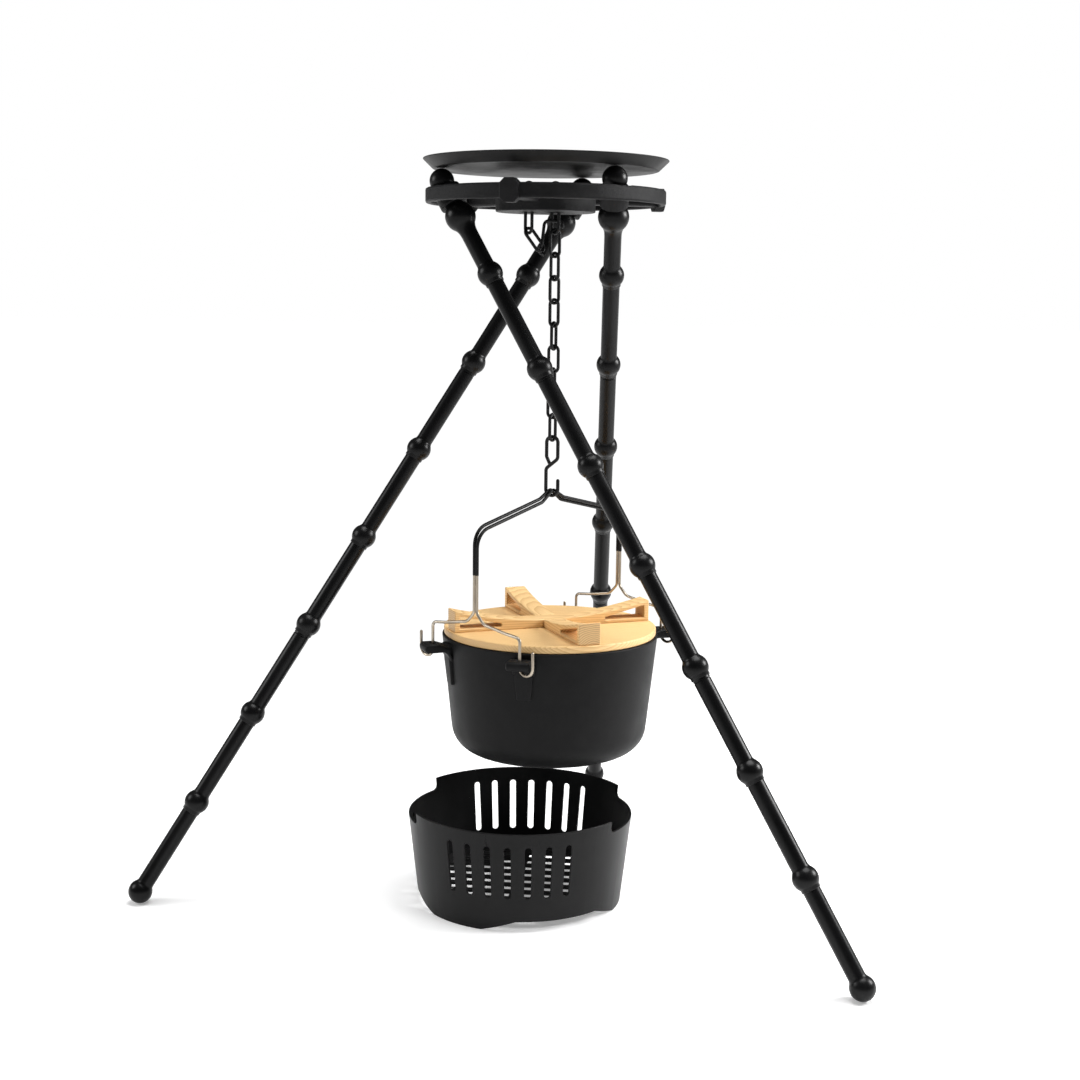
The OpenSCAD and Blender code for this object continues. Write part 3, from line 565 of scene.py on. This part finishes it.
# ---------------------------------------------------------------- pot
# Cast iron pot with a rounded rim, a low foot ring and four cast ears, two at each
# end of the bail. It is seasoned to a dry matte black.
POT_RIM_Z = EAR_TOP_Z + 4
POT_BASE_Z = POT_RIM_Z - 157
EAR_HOLE_R = math.hypot(BAIL_HALF, EAR_SIDE)
EAR_SPREAD = math.degrees(math.atan2(EAR_SIDE, BAIL_HALF))
EAR_AZ = [BAIL_AZ + end + side * EAR_SPREAD for end in (0, 180) for side in (-1, 1)]
POT_R = 136.3
EAR_W = 29.0
EAR_TIP_R = 168.1
EAR_EDGE = 3
HOLE_R = 5
DRILL_L = 40
PAD_PROUD = 9
PAD_SINK = 6.2
PAD_LEAN = 6
PAD_EDGE = 1.6
pot_axis = Matrix.Translation((HANG_X * MM, 0, 0))
pot_outline = eased_outline([
    (0, POT_BASE_Z + 1.5, 0), (71, POT_BASE_Z + 1.5, 0.4), (72, POT_BASE_Z, 0.8), (75, POT_BASE_Z, 1),
    (76.5, POT_BASE_Z + 6, 2.5), (120.4, POT_BASE_Z + 6, 35), (POT_R, POT_RIM_Z, 1.6),
    (129.8, POT_RIM_Z, 1.6), (129.5, POT_RIM_Z - 9, 6), (116.7, POT_BASE_Z + 10.5, 30),
    (0, POT_BASE_Z + 10.5, 0),
])


def cast_ear(name, azimuth):
    """Curved tongue with its hole, standing on a tapered pad on the pot's wall."""
    side = eased([Vector((r, 0, z)) for r, z in (
        (130, EAR_TOP_Z - 24), (134.5, EAR_TOP_Z - 24), (140.5, EAR_TOP_Z - 11),
        (EAR_TIP_R, EAR_TOP_Z - 11.4), (EAR_TIP_R, EAR_TOP_Z), (150, EAR_TOP_Z - 0.2),
        (140, EAR_TOP_Z - 3.5), (130, EAR_TOP_Z - 4))],
        [0, 7, 9, 5.2, 5, 16, 12, 0])
    ear = bmesh.new()
    corners = [ear.verts.new((EAR_W / 2 * MM, -p.x * MM, p.z * MM)) for p in side]
    flank = ear.faces.new(corners)
    grown = bmesh.ops.extrude_face_region(ear, geom=[flank])["geom"]
    moved = [g for g in grown if isinstance(g, bmesh.types.BMVert)]
    bmesh.ops.translate(ear, verts=moved, vec=(-EAR_W * MM, 0, 0))
    bmesh.ops.recalc_face_normals(ear, faces=ear.faces)
    rims = [e for e in ear.edges if len({round(v.co.x, 6) for v in e.verts}) == 1]
    bmesh.ops.bevel(ear, geom=rims, offset=EAR_EDGE * MM, segments=4, profile=0.5,
                    affect="EDGES", material=-1)
    pad = [(-13, -2), (13, -2), (9, -53), (-9, -53)]
    wall = [ear.verts.new((x * MM, 0, z * MM)) for x, z in pad]
    front = bmesh.ops.extrude_face_region(ear, geom=[ear.faces.new(wall)])["geom"]
    raised = [g for g in front if isinstance(g, bmesh.types.BMVert)]
    bmesh.ops.translate(ear, verts=raised, vec=(0, -PAD_PROUD * MM, 0))
    lip = [e for e in ear.edges if all(v in raised for v in e.verts)]
    foot = Matrix.Translation((0, -(POT_R - PAD_SINK) * MM, EAR_TOP_Z * MM))
    lean = foot @ rotated("X", PAD_LEAN)
    bmesh.ops.transform(ear, matrix=lean, verts=wall + raised)
    bmesh.ops.bevel(ear, geom=lip, offset=PAD_EDGE * MM, segments=3, profile=0.5,
                    affect="EDGES", material=-1)
    bmesh.ops.recalc_face_normals(ear, faces=ear.faces)
    piece = finished(name, ear, 40.0)
    drill = bmesh.new()
    spot = Matrix.Translation((0, -EAR_HOLE_R * MM, EAR_TOP_Z * MM))
    bmesh.ops.create_cone(drill, cap_ends=True, segments=40, radius1=HOLE_R * MM,
                          radius2=HOLE_R * MM, depth=DRILL_L * MM, matrix=spot)
    cutter = finished("drill", drill)
    hole = piece.modifiers.new("hole", "BOOLEAN")
    hole.object = cutter
    hole.solver = "EXACT"
    settled = piece.evaluated_get(bpy.context.evaluated_depsgraph_get())
    drilled = bpy.data.meshes.new_from_object(settled)
    piece.modifiers.clear()
    piece.data = drilled
    bpy.data.objects.remove(cutter)
    drilled.transform(pot_axis @ rotated("Z", azimuth))
    return piece


pot_iron = cast_iron("pot_iron", (0.0035, 0.0035, 0.0038), (0.0075, 0.0075, 0.0077), 0.52, 0.2 * MM)
coated(spun("pot_body", pot_outline, pot_axis, ROUND_STEPS), "pot", "cast_pot", pot_iron, "pot")
for i, azimuth in enumerate(EAR_AZ):
    coated(cast_ear(f"pot_ear_{i + 1}", azimuth), "pot", "cast_pot", pot_iron)

# ---------------------------------------------------------------- lid
# Round pine board with a smaller disc below that centres it in the pot. The cross
# handle is two halved pine bars, held from below by four wood screws.
CROSS_AZ = 21.0
GRAIN_Z = 350
GROWTH_RING = 2.6


def pine(name, along, centre, heart, ring_step):
    """Oiled pine with the grain along an azimuth. heart is the tree's axis, beside
    and below the piece."""
    finish = Finish(name, (0.80, 0.55, 0.27), 0.5)
    local = {"Location": tuple(c * MM for c in centre), "Rotation": (0, 0, math.radians(along - 90))}
    spot = finish.node("ShaderNodeMapping", {"vector_type": "TEXTURE"}, {"Vector": finish.place, **local})
    facing = finish.node("ShaderNodeMapping", {"vector_type": "TEXTURE"}, {
        "Vector": finish.node("ShaderNodeTexCoord", out="Normal"), "Rotation": local["Rotation"],
    })
    axis = [finish.node("ShaderNodeSeparateXYZ", None, {"Vector": spot}, out=i) for i in range(3)]
    end = finish.node("ShaderNodeSeparateXYZ", None, {"Vector": facing}).math("ABSOLUTE")
    drawn = finish.node("ShaderNodeCombineXYZ", None, {"X": axis[0] * 0.09, "Y": axis[1], "Z": axis[2]})
    wander = finish.noise(26.0, 2.0, place=drawn)
    side = axis[1] - heart[0] * MM
    depth = axis[2] - heart[1] * MM
    radius = (side * side + depth * depth) ** 0.5 + (wander - 0.5) * 0.012 + axis[0] * 0.02
    late = (radius / (ring_step * MM)).math("FRACT") ** 2.0
    fibre = finish.noise(1000.0, 3.0, 0.6, finish.node("ShaderNodeCombineXYZ", None, {
        "X": axis[0] * 0.02, "Y": axis[1], "Z": axis[2]}))
    wood = finish.mix(late * 0.72, (0.86, 0.585, 0.27), (0.56, 0.29, 0.09))
    wood = finish.mix(finish.between(fibre, 0.45, 0.85) * 0.3, wood, (0.52, 0.31, 0.13))
    wood = finish.mix(finish.between(end, 0.6, 0.9) * (late * 0.5 + 0.25), wood, (0.27, 0.14, 0.055))
    finish.drive("Base Color", wood)
    finish.drive("Roughness", fibre * 0.2 + 0.42)
    finish.bump(fibre * 0.6 + late * 0.4, 0.07 * MM)
    return finish.material


lid_centre = (HANG_X, 0, GRAIN_Z)
for name, node, edge, along, heart in (
    ("lid_board_pine", "lid_board", 0.8, CROSS_AZ + 90, (30, -95)),
    ("lid_disc_pine", "lid_ring", 0.8, CROSS_AZ, (-20, -80)),
    ("lid_lower_bar_pine", "lid_bar_lower", 1.2, CROSS_AZ, (4, -22)),
    ("lid_upper_bar_pine", "lid_bar_upper", 1.2, CROSS_AZ + 90, (-3, -25)),
):
    coated(eased_copy(name, node, edge * MM, 30.0), "lid", "lid_wood",
           pine(name, along, lid_centre, heart, GROWTH_RING), node)
screw_steel = bare_wire("screw_steel", (0.6, 0.6, 0.58), 0.28)
refinished(screw_steel, "lid_screws")

# ---------------------------------------------------------------- fire basket
# Rolled from 3 mm steel sheet and butt welded, with air slots cut through the two
# broad sides and three feet left between low arches. High-heat paint gives it an
# even dark satin. A flat grate lies on four tabs inside.
basket_black = powder_black("basket_black", (0.004, 0.004, 0.0042), 0.4, 0.012 * MM)
coated(eased_copy("basket_wall", "basket_shell", 0.6 * MM, 40.0), "basket", "basket_black",
       basket_black, "basket_shell")
coated(eased_copy("grate_plate", "charcoal_grate", 0.5 * MM, 40.0), "grate", "basket_black",
       basket_black, "charcoal_grate")
refinished(basket_black, "grate_tabs")

# ---------------------------------------------------------------- studio
# White floor without a visible edge, and large soft lights from above, right and
# left.
FLOOR_HALF = 40.0
FLOOR_GLOW = 0.3
EDGE_GLOW = 1.05
EDGE_FROM = 0.75
EDGE_TO = 1.7
FILL_LIGHT = 0.13
floor_finish = Finish("floor_white", (0.86, 0.86, 0.86), 0.9, {"Specular IOR Level": 0.0})
floor_finish.shader.inputs["Emission Color"].default_value = (1, 1, 1, 1)
floor_finish.shader.inputs["Emission Strength"].default_value = FLOOR_GLOW
reach = floor_finish.node("ShaderNodeVectorMath", {"operation": "LENGTH"}, {0: floor_finish.place}, out=1)
far = floor_finish.between(reach, EDGE_FROM, EDGE_TO)
glow = floor_finish.node("ShaderNodeEmission", None, {"Color": (1, 1, 1, 1), "Strength": EDGE_GLOW})
near = Value(floor_finish.tree, floor_finish.shader.outputs[0])
blend = floor_finish.node("ShaderNodeMixShader", None, {0: far, 1: near, 2: glow})
floor_finish.tree.links.new(blend.socket, floor_finish.tree.nodes["Material Output"].inputs["Surface"])
floor_source = bmesh.new()
bmesh.ops.create_grid(floor_source, x_segments=1, y_segments=1, size=FLOOR_HALF)
floor = finished("floor", floor_source)
floor.data.materials.append(floor_finish.material)


def soft_light(name, spot, target, size, power):
    """Round lamp of the given size in metres and power in watts, aimed at a target."""
    data = bpy.data.lights.new(name, "AREA")
    data.shape = "DISK"
    data.size = size
    data.energy = power
    light = bpy.data.objects.new(name, data)
    bpy.context.scene.collection.objects.link(light)
    aim = (Vector(target) - Vector(spot)).to_track_quat("-Z", "Y")
    light.matrix_world = Matrix.Translation(spot) @ aim.to_matrix().to_4x4()


soft_light("right", (2.3, 0.1, 1.4), (0, 0, 0.45), 1.0, 75)
soft_light("left", (-2.4, -0.2, 1.5), (0, 0, 0.4), 1.2, 26)
soft_light("above", (0.3, 0.1, 2.9), (0, 0, 0), 2.2, 105)

world = bpy.data.worlds.new("studio")
world.use_nodes = True
backdrop = world.node_tree.nodes["Background"]
backdrop.inputs["Color"].default_value = (1, 1, 1, 1)
seen = world.node_tree.nodes.new("ShaderNodeLightPath")
strength = world.node_tree.nodes.new("ShaderNodeMapRange")
strength.inputs["To Min"].default_value = FILL_LIGHT
world.node_tree.links.new(seen.outputs["Is Camera Ray"], strength.inputs["Value"])
world.node_tree.links.new(strength.outputs[0], backdrop.inputs["Strength"])
bpy.context.scene.world = world
bpy.context.scene.view_settings.view_transform = "Standard"
